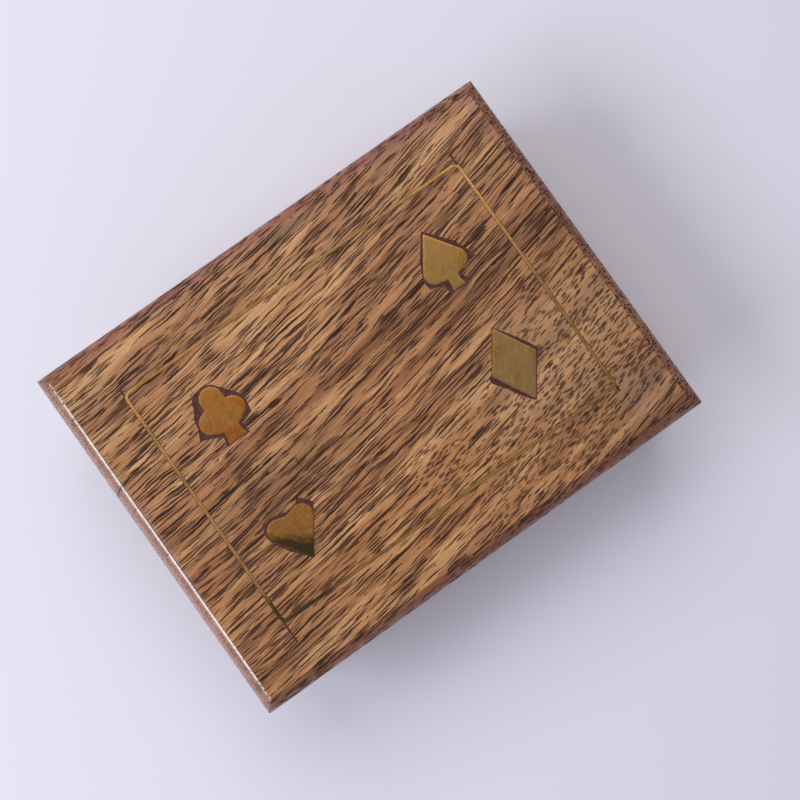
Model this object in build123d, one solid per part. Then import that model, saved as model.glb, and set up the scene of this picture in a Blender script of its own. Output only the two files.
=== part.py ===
from build123d import *
import math
import os

# A hardwood box for one deck of playing cards, laid flat. A drawer slides out of its
# long front side. Moulded boards close it above and below, and the lid is inlaid with
# the four suits and a border, all in brass. Millimetres.
# The origin is the middle of the underside: X along the box, Y towards its back, Z up.

# ---- The whole box
BOX_LENGTH = 127.0  # X, over the moulded edge of the lid
BOX_DEPTH = 96.0  # Y, the same way
BOX_HEIGHT = 44.5  # Z

# ---- Lid and base boards
LID_THICKNESS = 8.0
BASE_THICKNESS = 8.0
OVERHANG = 3.0  # how far both boards stand out past the case walls
MOULDING_WIDTH = 3.0  # how far the flat top stops short of a board's upper edges
MOULDING_RADIUS = 4.0  # the cutter's round, which meets the flat top at an angle
QUIRK = 0.1  # how far the cutter was set too deep
CORNER_EASE = 0.4  # sandpaper rounding of the boards' upright corners

# ---- Case walls
CASE_WALL = 8.0
WALL_EASE = 0.6  # rounding of the walls' two long front edges

# ---- Drawer
DRAWER_FRONT = 8.0
DRAWER_WALL = 5.0
DRAWER_FLOOR = 3.0
FLOOR_LIFT = 2.0  # the floor board lies this far above the drawer's lower edge
GROOVE_DEPTH = 2.0  # how far the floor board reaches into the walls
GROOVE_FIT = 0.1  # the floor board's play in its grooves
REBATE_DEPTH = 4.0  # the steps in the drawer front that take its sides
SIDE_PLAY = 0.5  # between drawer and case, left and right
LOWER_PLAY = 0.2  # under the drawer
UPPER_PLAY = 0.8  # over the drawer
BACK_PLAY = 1.0  # behind the closed drawer
NOTCH_RADIUS = 9.0  # the half-moon finger hold
NOTCH_EASE = 1.2  # the rounding of its front edge
FRONT_EASE = 0.5
LINING_THICKNESS = 1.0  # felt on the drawer's floor
LINING_PLAY = 0.3

# ---- Panel pins
PIN_RADIUS = 0.6
PIN_HEAD_RADIUS = 1.0
PIN_HEAD_THICKNESS = 0.5
PIN_POINT = 1.5  # length of the point
PIN_TIP = 0.05  # radius of the very tip
PIN_SUNK = 0.4  # how deep the heads are punched in
PIN_BITE = 9.0  # how far a pin reaches into the second board
PIN_FIT = 0.01  # a hole's clearance round its pin
PIN_END_GAP = 9.0  # from the end of a board to its outer pins
DRAWER_PIN_BITE = 6.0
DRAWER_PIN_EDGE = 6.5  # from the drawer's upper and lower edges

# ---- Brass inlay in the lid
INLAY_DEPTH = 1.2
BORDER_INSET = 15.4  # from the lid's edge to the middle of the border wire
BORDER_DRIFT = (0.05, 0.25)  # the border was set this far off the middle
WIRE_WIDTH = 0.75
WIRE_BEND = 1.5  # bend radius of the wire's middle line
TIGHT_BEND = 0.9  # the same at the front right corner
WIRE_JOINT = 0.1  # the gap where the wire's two ends meet
JOINT_INSET = 2.0  # how far that gap lies from the tight corner
GROOVE_PLAY = 0.08  # resin in the groove on each side of the wire
SAW_CUT = 0.5  # width of the saw cuts along the short sides
OVERRUN_BACK_LEFT = 2.0  # they run on past the corners by these lengths
OVERRUN_BACK_RIGHT = 2.8
OVERRUN_FRONT_LEFT = 5.4
OVERRUN_FRONT_RIGHT = 1.8

# ---- The four suits: sizes of each outline, and where hand work moved each one
CLUB_LOBE = 2.9
CLUB_LOBE_APART = 3.2  # from the middle line to a side lobe
CLUB_TOP_RISE = 4.7  # from the side lobes up to the top one
CLUB_CREASE = (3.0, 3.1)  # the corner between the top lobe and a side one
CLUB_WAIST = (2.1, -3.7)
CLUB_FOOT = (2.7, -6.7)
SPADE_LOBE = 2.65
SPADE_LOBE_APART = 3.25
SPADE_TIP = 9.4  # from the lobes' middles up to the tip
SPADE_WAIST = (1.5, -3.1)
SPADE_FOOT = (1.9, -6.1)
HEART_LOBE = 2.7
HEART_LOBE_APART = 3.35
HEART_TIP = 9.7
HEART_DIP = 1.85  # how far the dip between the lobes lies above their middles
DIAMOND_LENGTH = 19.8
DIAMOND_WIDTH = 12.4
STEM_HOLLOW = 0.25  # how far a stem's sides curve in

CLUB_DRIFT = (0.1, -0.4)
SPADE_DRIFT = (-0.5, -0.7)
HEART_DRIFT = (-1.5, -1.6)
DIAMOND_DRIFT = (-0.65, 1.9)
HEART_TURN = -1.0  # degrees
DIAMOND_TURN = -3.8

# ---- The pockets were chiselled by hand and are wider than the brass. Each list gives
# the corners of the straight chisel cuts, from the middle of its suit.
POCKET_MARGIN = 0.2  # the least width of the resin round the brass
CLUB_CUTS = [
    (0.2, 7.7), (1.9, 7.1), (3.6, 5.0), (4.7, 3.6), (6.7, 1.0), (6.6, -0.9),
    (6.2, -3.6), (3.0, -4.6), (3.1, -7.3), (-3.2, -7.3), (-2.8, -4.8), (-6.1, -3.2),
    (-7.8, -2.5), (-6.6, -0.1), (-6.1, 2.4), (-4.9, 4.2), (-4.3, 5.9), (-3.1, 7.4),
]
SPADE_CUTS = [
    (0.1, 8.5), (2.8, 5.2), (5.4, 1.9), (6.8, -1.7), (7.4, -3.6), (1.8, -4.7),
    (3.0, -7.5), (1.7, -8.1), (-2.7, -7.9), (-3.0, -5.3), (-6.3, -4.1), (-6.5, -1.7),
    (-4.3, 2.8),
]
HEART_CUTS = [
    (3.5, 6.5), (4.6, 7.4), (5.3, 6.9), (6.6, 5.6), (7.3, 4.3), (5.8, 1.9),
    (4.2, 0.2), (0.3, -6.3), (-1.5, -4.7), (-3.8, -2.0), (-5.3, 0.4), (-6.2, 2.4),
    (-6.6, 4.0), (-6.1, 5.6), (-4.4, 6.5), (-3.7, 7.0), (-1.8, 6.9), (0.6, 6.1),
]
DIAMOND_CUTS = [
    (0.6, 10.1), (2.2, 7.8), (3.8, 5.3), (5.6, 2.4), (6.7, 0.2), (6.6, -0.6),
    (-0.9, -10.0), (-1.8, -9.0), (-3.5, -6.6), (-4.8, -4.2), (-7.1, -1.0), (-7.1, 0.2),
    (-6.0, 1.0),
]

# ---- Places that follow from the sizes above
CASE_X = BOX_LENGTH / 2 - OVERHANG  # outer face of a case side
CASE_Y = BOX_DEPTH / 2 - OVERHANG
WALL_X = CASE_X - CASE_WALL  # its inner face
WALL_BACK_Y = CASE_Y - CASE_WALL
LID_Z = BOX_HEIGHT - LID_THICKNESS
DRAWER_X = WALL_X - SIDE_PLAY
DRAWER_FRONT_Y = -CASE_Y
DRAWER_BACK_Y = WALL_BACK_Y - BACK_PLAY
DRAWER_Z0 = BASE_THICKNESS + LOWER_PLAY
DRAWER_Z1 = LID_Z - UPPER_PLAY
TRAY_X = DRAWER_X - DRAWER_WALL  # the space for the cards
TRAY_Y0 = DRAWER_FRONT_Y + DRAWER_FRONT
TRAY_Y1 = DRAWER_BACK_Y - DRAWER_WALL
FLOOR_Z0 = DRAWER_Z0 + FLOOR_LIFT
FLOOR_Z1 = FLOOR_Z0 + DRAWER_FLOOR
BORDER_X = BOX_LENGTH / 2 - BORDER_INSET
BORDER_Y = BOX_DEPTH / 2 - BORDER_INSET


def block(x0, x1, y0, y1, z0, z1):
    """A plain board between two opposite corners."""
    middle = Pos((x0 + x1) / 2, (y0 + y1) / 2, (z0 + z1) / 2)
    return middle * Box(x1 - x0, y1 - y0, z1 - z0)


# ---------------------------------------------------------------- pins


def pin(reach, fit=0.0):
    """A panel pin that points along +Z, with its head's top at the origin."""
    head = Cylinder(
        PIN_HEAD_RADIUS + fit,
        PIN_HEAD_THICKNESS + fit,
        align=(Align.CENTER, Align.CENTER, Align.MIN),
    )
    shank = Cylinder(
        PIN_RADIUS + fit,
        reach - PIN_POINT,
        align=(Align.CENTER, Align.CENTER, Align.MIN),
    )
    point = Pos(0, 0, reach - PIN_POINT) * Cone(
        PIN_RADIUS + fit,
        PIN_TIP,
        PIN_POINT + fit,
        align=(Align.CENTER, Align.CENTER, Align.MIN),
    )
    return head + shank + point


def pin_hole(reach):
    """What a board loses to such a pin: its hole, open behind the sunk head."""
    mouth = Cylinder(
        PIN_HEAD_RADIUS + PIN_FIT,
        2 * PIN_SUNK,
        align=(Align.CENTER, Align.CENTER, Align.MAX),
    )
    return mouth + pin(reach, PIN_FIT)


def spread(first, last, count):
    """Evenly spaced values from first to last."""
    return [first + (last - first) * i / (count - 1) for i in range(count)]


def base_pin_places():
    """Pins driven up through the base into the case walls."""
    side_x = CASE_X - CASE_WALL / 2
    sides = [
        Pos(x, y, PIN_SUNK)
        for x in (-side_x, side_x)
        for y in spread(-CASE_Y + PIN_END_GAP, WALL_BACK_Y - PIN_END_GAP, 3)
    ]
    back_x = WALL_X - 2 * PIN_END_GAP
    back = [Pos(x, CASE_Y - CASE_WALL / 2, PIN_SUNK) for x in (-back_x, back_x)]
    return sides + back


def corner_pin_places():
    """Pins driven through the case sides into the ends of the back."""
    heights = spread(BASE_THICKNESS + DRAWER_PIN_EDGE, LID_Z - DRAWER_PIN_EDGE, 2)
    y = CASE_Y - CASE_WALL / 2
    left = [Pos(-CASE_X + PIN_SUNK, y, z) * Rot(0, 90, 0) for z in heights]
    right = [Pos(CASE_X - PIN_SUNK, y, z) * Rot(0, -90, 0) for z in heights]
    return left + right


def drawer_pin_places():
    """Pins driven through the drawer's sides into its front and its back."""
    heights = spread(DRAWER_Z0 + DRAWER_PIN_EDGE, DRAWER_Z1 - DRAWER_PIN_EDGE, 2)
    front_y = TRAY_Y0 - REBATE_DEPTH / 2
    back_y = DRAWER_BACK_Y - DRAWER_WALL / 2
    places = []
    for y in (front_y, back_y):
        for z in heights:
            places.append(Pos(-DRAWER_X + PIN_SUNK, y, z) * Rot(0, 90, 0))
            places.append(Pos(DRAWER_X - PIN_SUNK, y, z) * Rot(0, -90, 0))
    return places


BASE_PIN_REACH = BASE_THICKNESS - PIN_SUNK + PIN_BITE
CORNER_PIN_REACH = CASE_WALL - PIN_SUNK + PIN_BITE
DRAWER_PIN_REACH = DRAWER_WALL - PIN_SUNK + DRAWER_PIN_BITE


def holes(places, reach):
    return [place * pin_hole(reach) for place in places]


def pins(places, reach):
    return Compound(children=[place * pin(reach) for place in places])


def drilled(board, *groups):
    for group in groups:
        for hole in group:
            board -= hole
    return board


# ---------------------------------------------------------------- outlines of the suits


def touch(outside, centre, radius, side):
    """The point where a line from outside touches a circle. side picks one of the two."""
    dx = outside[0] - centre[0]
    dy = outside[1] - centre[1]
    turn = math.acos(radius / math.hypot(dx, dy))
    angle = math.atan2(dy, dx) + side * turn
    return (centre[0] + radius * math.cos(angle), centre[1] + radius * math.sin(angle))


def lobe(start, centre, radius, facing, end):
    """The round of a lobe from start to end, past the side that faces this many degrees."""
    angle = math.radians(facing)
    middle = (centre[0] + radius * math.cos(angle), centre[1] + radius * math.sin(angle))
    return ThreePointArc(start, middle, end)


def whole(right_half):
    """A filled outline from its right half, moved so that its middle is the origin."""
    half = Curve() + right_half
    face = make_face(half + mirror(half, Plane.YZ))
    middle = face.bounding_box().center()
    return Pos(-middle.X, -middle.Y) * face


def stem(waist, foot):
    """A stem's right side and the right half of its foot."""
    middle = ((waist[0] + foot[0]) / 2 - STEM_HOLLOW, (waist[1] + foot[1]) / 2)
    return [ThreePointArc(waist, middle, foot), Line(foot, (0, foot[1]))]


def club():
    top = (0, CLUB_TOP_RISE)
    side = (CLUB_LOBE_APART, 0)
    crown = (0, CLUB_TOP_RISE + CLUB_LOBE)
    off_top = touch(CLUB_CREASE, top, CLUB_LOBE, 1)
    on_side = touch(CLUB_CREASE, side, CLUB_LOBE, -1)
    off_side = touch(CLUB_WAIST, side, CLUB_LOBE, 1)
    return whole(
        [
            lobe(crown, top, CLUB_LOBE, 50, off_top),
            Line(off_top, CLUB_CREASE),
            Line(CLUB_CREASE, on_side),
            lobe(on_side, side, CLUB_LOBE, 0, off_side),
            Line(off_side, CLUB_WAIST),
        ]
        + stem(CLUB_WAIST, CLUB_FOOT)
    )


def spade():
    side = (SPADE_LOBE_APART, 0)
    tip = (0, SPADE_TIP)
    on_side = touch(tip, side, SPADE_LOBE, -1)
    off_side = touch(SPADE_WAIST, side, SPADE_LOBE, 1)
    return whole(
        [
            Line(tip, on_side),
            lobe(on_side, side, SPADE_LOBE, -20, off_side),
            Line(off_side, SPADE_WAIST),
        ]
        + stem(SPADE_WAIST, SPADE_FOOT)
    )


def heart():
    side = (HEART_LOBE_APART, 0)
    tip = (0, -HEART_TIP)
    dip = (0, HEART_DIP)
    on_side = touch(tip, side, HEART_LOBE, 1)
    off_side = touch(dip, side, HEART_LOBE, -1)
    return whole(
        [
            Line(tip, on_side),
            lobe(on_side, side, HEART_LOBE, 40, off_side),
            Line(off_side, dip),
        ]
    )


def diamond():
    x = DIAMOND_WIDTH / 2
    y = DIAMOND_LENGTH / 2
    return make_face(Polyline((0, y), (x, 0), (0, -y), (-x, 0), close=True))


def suit_places():
    """Each suit belongs in the middle of a quarter of the border, give or take its drift."""
    x = BORDER_X * 2 / 3
    y = BORDER_Y / 2
    dx, dy = BORDER_DRIFT
    return {
        "club": Pos(dx - x + CLUB_DRIFT[0], dy + y + CLUB_DRIFT[1]),
        "spade": Pos(dx + x + SPADE_DRIFT[0], dy + y + SPADE_DRIFT[1]),
        "heart": Pos(dx - x + HEART_DRIFT[0], dy - y + HEART_DRIFT[1]),
        "diamond": Pos(dx + x + DIAMOND_DRIFT[0], dy - y + DIAMOND_DRIFT[1]),
    }


def inlay_sketches():
    """For each suit, its brass outline and its pocket outline, in place in the lid."""
    outlines = {
        "club": (club(), CLUB_CUTS),
        "spade": (spade(), SPADE_CUTS),
        "heart": (Rot(0, 0, HEART_TURN) * heart(), HEART_CUTS),
        "diamond": (Rot(0, 0, DIAMOND_TURN) * diamond(), DIAMOND_CUTS),
    }
    placed = {}
    for name, place in suit_places().items():
        brass, cuts = outlines[name]
        pocket = make_face(Polyline(*cuts, close=True)) + offset(brass, POCKET_MARGIN)
        placed[name] = (place * brass, place * pocket)
    return placed


def sunk(sketch, depth=INLAY_DEPTH):
    """A flat outline made solid, from the top of the lid down."""
    return Pos(0, 0, BOX_HEIGHT - depth) * extrude(sketch, depth)


# ---------------------------------------------------------------- the border


def bent_frame(grown):
    """A filled outline with rounded corners, this much larger than the middle line."""
    frame = Rectangle(2 * (BORDER_X + grown), 2 * (BORDER_Y + grown))
    front_right = frame.vertices().filter_by(lambda v: v.X > 0 and v.Y < 0)
    frame = fillet(front_right, TIGHT_BEND + grown)
    others = frame.vertices().filter_by(lambda v: v.X < 0 or v.Y > 0)
    return fillet(others, WIRE_BEND + grown)


def bent_ring(half):
    """The border's path, drawn this wide on each side of its middle line."""
    return Pos(*BORDER_DRIFT) * (bent_frame(half) - bent_frame(-half))


def border_wire():
    joint_x = BORDER_X - JOINT_INSET
    joint = block(
        joint_x - WIRE_JOINT, joint_x,
        -BORDER_Y - WIRE_WIDTH, -BORDER_Y + WIRE_WIDTH,
        BOX_HEIGHT - INLAY_DEPTH, BOX_HEIGHT,
    )
    return sunk(bent_ring(WIRE_WIDTH / 2)) - Pos(*BORDER_DRIFT) * joint


def border_groove():
    """The groove that the wire lies in. Saw cuts along the short sides run past it."""
    groove = sunk(bent_ring(WIRE_WIDTH / 2 + GROOVE_PLAY))
    sides = (
        (-BORDER_X, OVERRUN_FRONT_LEFT, OVERRUN_BACK_LEFT),
        (BORDER_X, OVERRUN_FRONT_RIGHT, OVERRUN_BACK_RIGHT),
    )
    for x, front, back in sides:
        cut = block(
            x - SAW_CUT / 2, x + SAW_CUT / 2,
            -BORDER_Y - front, BORDER_Y + back,
            BOX_HEIGHT - INLAY_DEPTH, BOX_HEIGHT,
        )
        groove += Pos(*BORDER_DRIFT) * cut
    return groove


def groove_fill():
    """Dark resin in the groove, beside the wire and in the saw cuts past it."""
    return border_groove() - border_wire()


# ---------------------------------------------------------------- boards of the case


def moulded_board(thickness, bottom_z):
    """A board with a round and a small step along its four upper edges."""
    board = Box(
        BOX_LENGTH,
        BOX_DEPTH,
        thickness - QUIRK,
        align=(Align.CENTER, Align.CENTER, Align.MIN),
    )
    upper = board.faces().sort_by(Axis.Z)[-1].edges()
    board = fillet(upper, MOULDING_RADIUS)
    mitres = board.edges().filter_by(GeomType.LINE, reverse=True)
    corners = board.edges().filter_by(Axis.Z)
    board = fillet(corners + mitres.filter_by(is_mitre), CORNER_EASE)
    flat = Box(
        BOX_LENGTH - 2 * MOULDING_WIDTH,
        BOX_DEPTH - 2 * MOULDING_WIDTH,
        thickness,
        align=(Align.CENTER, Align.CENTER, Align.MIN),
    )
    return Pos(0, 0, bottom_z) * (board + flat)


def is_mitre(edge):
    """True for the curved edges where two lengths of the moulding meet."""
    box = edge.bounding_box()
    return box.size.X > MOULDING_RADIUS / 2 and box.size.Y > MOULDING_RADIUS / 2


def top_panel(sketches):
    board = moulded_board(LID_THICKNESS, LID_Z)
    board -= border_groove()
    for _, pocket in sketches.values():
        board -= sunk(pocket)
    return board


def base_panel():
    board = moulded_board(BASE_THICKNESS, 0)
    return drilled(board, holes(base_pin_places(), BASE_PIN_REACH))


def case_side(side):
    """side is -1 for the left wall and 1 for the right one."""
    x0, x1 = sorted((side * WALL_X, side * CASE_X))
    wall = block(x0, x1, -CASE_Y, CASE_Y, BASE_THICKNESS, LID_Z)
    front = wall.faces().sort_by(Axis.Y)[0].edges().filter_by(Axis.Z)
    wall = fillet(front, WALL_EASE)
    return drilled(
        wall,
        holes(base_pin_places(), BASE_PIN_REACH),
        holes(corner_pin_places(), CORNER_PIN_REACH),
    )


def case_back():
    wall = block(-WALL_X, WALL_X, WALL_BACK_Y, CASE_Y, BASE_THICKNESS, LID_Z)
    return drilled(
        wall,
        holes(base_pin_places(), BASE_PIN_REACH),
        holes(corner_pin_places(), CORNER_PIN_REACH),
    )


# ---------------------------------------------------------------- the drawer


def floor_groove():
    """The space that the drawer's floor board takes, with its play in the walls."""
    return block(
        -TRAY_X - GROOVE_DEPTH, TRAY_X + GROOVE_DEPTH,
        TRAY_Y0 - GROOVE_DEPTH, TRAY_Y1 + GROOVE_DEPTH,
        FLOOR_Z0 - GROOVE_FIT, FLOOR_Z1 + GROOVE_FIT,
    )


def drawer_holes():
    return holes(drawer_pin_places(), DRAWER_PIN_REACH)


def drawer_front():
    board = block(-DRAWER_X, DRAWER_X, DRAWER_FRONT_Y, TRAY_Y0, DRAWER_Z0, DRAWER_Z1)
    notch = Pos(0, DRAWER_FRONT_Y, DRAWER_Z1) * Rot(90, 0, 0)
    board -= notch * Cylinder(NOTCH_RADIUS, 2 * DRAWER_FRONT + 2)
    outer = board.faces().sort_by(Axis.Y)[0]
    rim = outer.edges().filter_by(GeomType.CIRCLE)
    board = fillet(rim, NOTCH_EASE)
    outer = board.faces().sort_by(Axis.Y)[0]
    ends = outer.edges().filter_by(Axis.Z)
    board = fillet(ends, FRONT_EASE)
    for x0, x1 in ((-DRAWER_X, -TRAY_X), (TRAY_X, DRAWER_X)):
        board -= block(x0, x1, TRAY_Y0 - REBATE_DEPTH, TRAY_Y0, DRAWER_Z0, DRAWER_Z1)
    board -= floor_groove()
    return drilled(board, drawer_holes())


def drawer_side(side):
    x0, x1 = sorted((side * TRAY_X, side * DRAWER_X))
    board = block(x0, x1, TRAY_Y0 - REBATE_DEPTH, DRAWER_BACK_Y, DRAWER_Z0, DRAWER_Z1)
    board -= floor_groove()
    return drilled(board, drawer_holes())


def drawer_back():
    board = block(-TRAY_X, TRAY_X, TRAY_Y1, DRAWER_BACK_Y, DRAWER_Z0, DRAWER_Z1)
    board -= floor_groove()
    return drilled(board, drawer_holes())


def drawer_bottom():
    reach = GROOVE_DEPTH - GROOVE_FIT
    return block(
        -TRAY_X - reach, TRAY_X + reach,
        TRAY_Y0 - reach, TRAY_Y1 + reach,
        FLOOR_Z0, FLOOR_Z1,
    )


def drawer_lining():
    """Felt glued to the drawer's floor."""
    return block(
        -TRAY_X + LINING_PLAY, TRAY_X - LINING_PLAY,
        TRAY_Y0 + LINING_PLAY, TRAY_Y1 - LINING_PLAY,
        FLOOR_Z1, FLOOR_Z1 + LINING_THICKNESS,
    )


# ---------------------------------------------------------------- all pieces


def pieces():
    sketches = inlay_sketches()
    made = {
        "top_panel": top_panel(sketches),
        "base_panel": base_panel(),
        "case_side_left": case_side(-1),
        "case_side_right": case_side(1),
        "case_back": case_back(),
        "border_wire": border_wire(),
        "groove_fill": groove_fill(),
        "base_pins": pins(base_pin_places(), BASE_PIN_REACH),
        "corner_pins": pins(corner_pin_places(), CORNER_PIN_REACH),
        "drawer_front": drawer_front(),
        "drawer_side_left": drawer_side(-1),
        "drawer_side_right": drawer_side(1),
        "drawer_back": drawer_back(),
        "drawer_bottom": drawer_bottom(),
        "drawer_pins": pins(drawer_pin_places(), DRAWER_PIN_REACH),
        "drawer_lining": drawer_lining(),
    }
    for name, (brass, pocket) in sketches.items():
        made["inlay_" + name] = sunk(brass)
        made["fill_" + name] = sunk(pocket - brass)
    return made


def main():
    os.makedirs("parts", exist_ok=True)
    for name, shape in pieces().items():
        export_step(shape, f"parts/{name}.step")
    print("space for the cards:", 2 * TRAY_X, "x", TRAY_Y1 - TRAY_Y0, "x")
    print(DRAWER_Z1 - FLOOR_Z1 - LINING_THICKNESS, "mm over the felt")


main()
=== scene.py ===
# %% [markdown]
# # A playing card box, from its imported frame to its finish
# The box is a small hardwood case, laid flat, with a drawer for one deck of cards. Its lid
# is inlaid with brass. The frame below is the construction, already at its real size and
# place. Everything in this file is laid on that frame, in metres, so no piece is fitted by
# eye.

# %% Load the frame
import math

import bmesh
import bpy
import numpy as np
from mathutils import Matrix, Vector, noise
from mathutils.geometry import delaunay_2d_cdt


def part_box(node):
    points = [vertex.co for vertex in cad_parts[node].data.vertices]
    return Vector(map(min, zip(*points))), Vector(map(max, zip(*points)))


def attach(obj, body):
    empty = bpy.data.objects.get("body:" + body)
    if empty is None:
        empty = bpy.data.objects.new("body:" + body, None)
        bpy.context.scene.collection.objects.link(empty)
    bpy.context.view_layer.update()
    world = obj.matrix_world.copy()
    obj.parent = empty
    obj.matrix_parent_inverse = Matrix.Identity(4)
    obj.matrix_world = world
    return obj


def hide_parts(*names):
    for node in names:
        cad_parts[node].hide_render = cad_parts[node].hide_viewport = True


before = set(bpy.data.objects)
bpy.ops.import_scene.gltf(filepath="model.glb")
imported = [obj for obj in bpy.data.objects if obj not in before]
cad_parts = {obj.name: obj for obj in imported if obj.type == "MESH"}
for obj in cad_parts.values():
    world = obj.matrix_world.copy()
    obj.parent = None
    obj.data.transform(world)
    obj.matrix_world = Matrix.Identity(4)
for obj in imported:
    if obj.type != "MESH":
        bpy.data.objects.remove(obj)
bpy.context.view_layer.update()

# %% [markdown]
# ## Units and colours
# A joiner thinks in millimetres and Blender in metres, so one named value turns the first
# into the second. Colours are written as a painter's chart gives them, from 0 to 255.
# Blender mixes light, not paint, so each one is first turned into linear light.

# %% Millimetres and paint
MM = 0.001


def paint(red, green, blue):
    """A colour of the chart as linear light, with full opacity."""
    linear = []
    for value in (red, green, blue):
        share = value / 255
        low = share / 12.92
        high = ((share + 0.055) / 1.055) ** 2.4
        linear.append(low if share <= 0.04045 else high)
    return (*linear, 1.0)


print("a mid brown in linear light:", [round(v, 3) for v in paint(160, 115, 75)])

# %% [markdown]
# ## The camera
# The box was seen from almost straight above, with a lens a little longer than a normal
# one, and turned on the table. A camera is placed by three things: where it stands, what
# it aims at, and how far it is rolled about its own axis. The sensor is 36 mm wide and the
# picture is 800 pixels wide, so a focal length in pixels gives the lens.

# %% Camera
IMAGE_WIDTH = 800
SENSOR = 36.0
FOCAL_PIXELS = 1300.0
CAMERA_PLACE = Vector((-12.91, -15.06, 351.17)) * MM
CAMERA_AIM = Vector((4.27, -5.57, 44.5)) * MM
CAMERA_ROLL = math.radians(-35.443)


def make_camera():
    data = bpy.data.cameras.new("view_from_above")
    data.lens = FOCAL_PIXELS * SENSOR / IMAGE_WIDTH
    data.sensor_width = SENSOR
    camera = bpy.data.objects.new("view_from_above", data)
    forward = (CAMERA_AIM - CAMERA_PLACE).normalized()
    up = Vector((0, 1, 0))
    up = (up - forward * up.dot(forward)).normalized()
    up = Matrix.Rotation(CAMERA_ROLL, 3, -forward) @ up
    right = forward.cross(up)
    turn = Matrix((right, up, -forward)).transposed()
    camera.matrix_world = Matrix.Translation(CAMERA_PLACE) @ turn.to_4x4()
    bpy.context.scene.collection.objects.link(camera)
    bpy.context.scene.camera = camera
    return camera


camera = make_camera()
print("lens", round(camera.data.lens, 2), "mm")

# %% [markdown]
# ## Writing shaders as short sentences
# A material in Blender is a graph of nodes. Placing each node and link by hand makes long
# code, so this small helper adds a node, sets it and returns its output. Calls can then be
# nested like a formula. It works the same in a material and in a node group.

# %% The graph helper


class Graph:
    """Adds nodes to one tree. A value given to a method is a number or another output."""

    def __init__(self, tree):
        self.tree = tree

    def put(self, socket, value):
        if isinstance(value, bpy.types.NodeSocket):
            self.tree.links.new(value, socket)
        else:
            socket.default_value = value

    def node(self, kind, settings=None, inputs=None):
        made = self.tree.nodes.new(kind)
        for name, value in (settings or {}).items():
            setattr(made, name, value)
        for name, value in (inputs or {}).items():
            self.put(made.inputs[name], value)
        return made

    def math(self, operation, *values, clamp=False):
        settings = {"operation": operation, "use_clamp": clamp}
        return self.node("ShaderNodeMath", settings, dict(enumerate(values))).outputs[0]

    def vector(self, operation, *values):
        made = self.node("ShaderNodeVectorMath", {"operation": operation}, dict(enumerate(values)))
        number = operation in ("LENGTH", "DISTANCE", "DOT_PRODUCT")
        return made.outputs["Value" if number else "Vector"]

    def scaled(self, vector, factor):
        made = self.node("ShaderNodeVectorMath", {"operation": "SCALE"})
        self.put(made.inputs["Vector"], vector)
        self.put(made.inputs["Scale"], factor)
        return made.outputs["Vector"]

    def split(self, vector):
        return self.node("ShaderNodeSeparateXYZ", inputs={"Vector": vector}).outputs

    def join(self, x, y, z):
        return self.node("ShaderNodeCombineXYZ", inputs={0: x, 1: y, 2: z}).outputs[0]

    def fade(self, value, start, end, low=0.0, high=1.0):
        """Goes smoothly from low, where value is at start, to high, where it is at end."""
        inputs = {"Value": value, "From Min": start, "From Max": end, "To Min": low, "To Max": high}
        settings = {"interpolation_type": "SMOOTHSTEP"}
        return self.node("ShaderNodeMapRange", settings, inputs).outputs["Result"]

    def mix(self, factor, first, second):
        """Mixes two colours."""
        made = self.node("ShaderNodeMix", {"data_type": "RGBA"}, {0: factor, 6: first, 7: second})
        return made.outputs[2]

    def noise(self, vector, scale=1.0, detail=2.0, roughness=0.5, distortion=0.0):
        inputs = {
            "Vector": vector, "Scale": scale, "Detail": detail,
            "Roughness": roughness, "Distortion": distortion,
        }
        return self.node("ShaderNodeTexNoise", inputs=inputs).outputs["Fac"]

    def cells(self, vector, scale=1.0):
        """Scattered points: how far the nearest one is, and a random colour for each."""
        made = self.node("ShaderNodeTexVoronoi", inputs={"Vector": vector, "Scale": scale})
        return made.outputs["Distance"], made.outputs["Color"]

    def group(self, name, inputs):
        made = self.tree.nodes.new("ShaderNodeGroup")
        made.node_tree = bpy.data.node_groups[name]
        for key, value in inputs.items():
            self.put(made.inputs[key], value)
        return made.outputs


SOCKETS = {"number": "NodeSocketFloat", "vector": "NodeSocketVector", "colour": "NodeSocketColor"}


def new_group(name, inputs, outputs):
    """An empty node group. Returns its graph, its inputs and its outputs."""
    tree = bpy.data.node_groups.new(name, "ShaderNodeTree")
    for key, (kind, default) in inputs.items():
        socket = tree.interface.new_socket(key, in_out="INPUT", socket_type=SOCKETS[kind])
        socket.default_value = default
    for key, kind in outputs.items():
        tree.interface.new_socket(key, in_out="OUTPUT", socket_type=SOCKETS[kind])
    start = tree.nodes.new("NodeGroupInput")
    end = tree.nodes.new("NodeGroupOutput")
    print("node group", name, "takes", ", ".join(inputs), "and gives", ", ".join(outputs))
    return Graph(tree), start.outputs, end.inputs


# %% [markdown]
# ## Where a point lies in its log
# Wood isn't painted with a grain. A board is cut out of a log, and its grain is what the
# cut happens to cross. So every wood texture here is three-dimensional. This group turns a
# point of the board into a point of the log: X runs along the fibres, Y and Z across them.
# The fibres of this lid rise towards the right and bend a little, which is a slant and a
# bow. They also waver, which a slow noise adds. On a board that is cut across, the same
# group gives end grain with no further work.

# %% Node group: Log Space


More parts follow.
